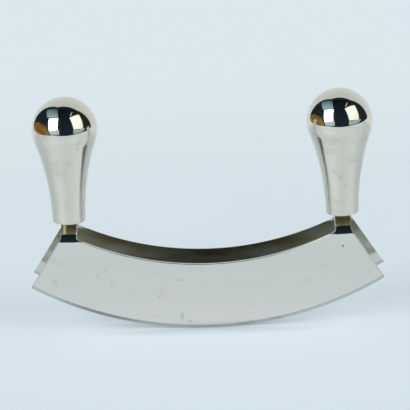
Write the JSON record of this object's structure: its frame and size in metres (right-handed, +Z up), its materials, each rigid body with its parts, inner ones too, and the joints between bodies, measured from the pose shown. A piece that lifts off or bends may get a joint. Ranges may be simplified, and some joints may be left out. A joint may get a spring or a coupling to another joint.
{
  "type": "double-bladed mezzaluna",
  "caption": "Rocking herb chopper: parallel crescent steel blades with upright hollow ball-ended handles over their ends, joined by bent tabs and tangs.",
  "frame": {"origin": "under the middle of the tool, on the board that both cutting edges touch", "axes": "+X along the blades to the right handle, +Y from the front blade to the rear blade, +Z up along the handles"},
  "size_m": [0.22, 0.041, 0.149],
  "materials": {
    "blade_steel": "fine polished blade steel",
    "polished_steel": "mirror-polished stainless steel",
    "cast_resin": "cast, matt",
    "rivet_steel": "plain turned steel"
  },
  "bodies": {
    "root": {"front_blade": "blade_steel", "rear_blade": "blade_steel", "left_handle_shell": "polished_steel", "right_handle_shell": "polished_steel", "left_base_plug": "polished_steel", "right_base_plug": "polished_steel", "left_handle_filling": "cast_resin", "right_handle_filling": "cast_resin", "left_tang_rivet": "rivet_steel", "right_tang_rivet": "rivet_steel"}
  },
  "joints": []
}
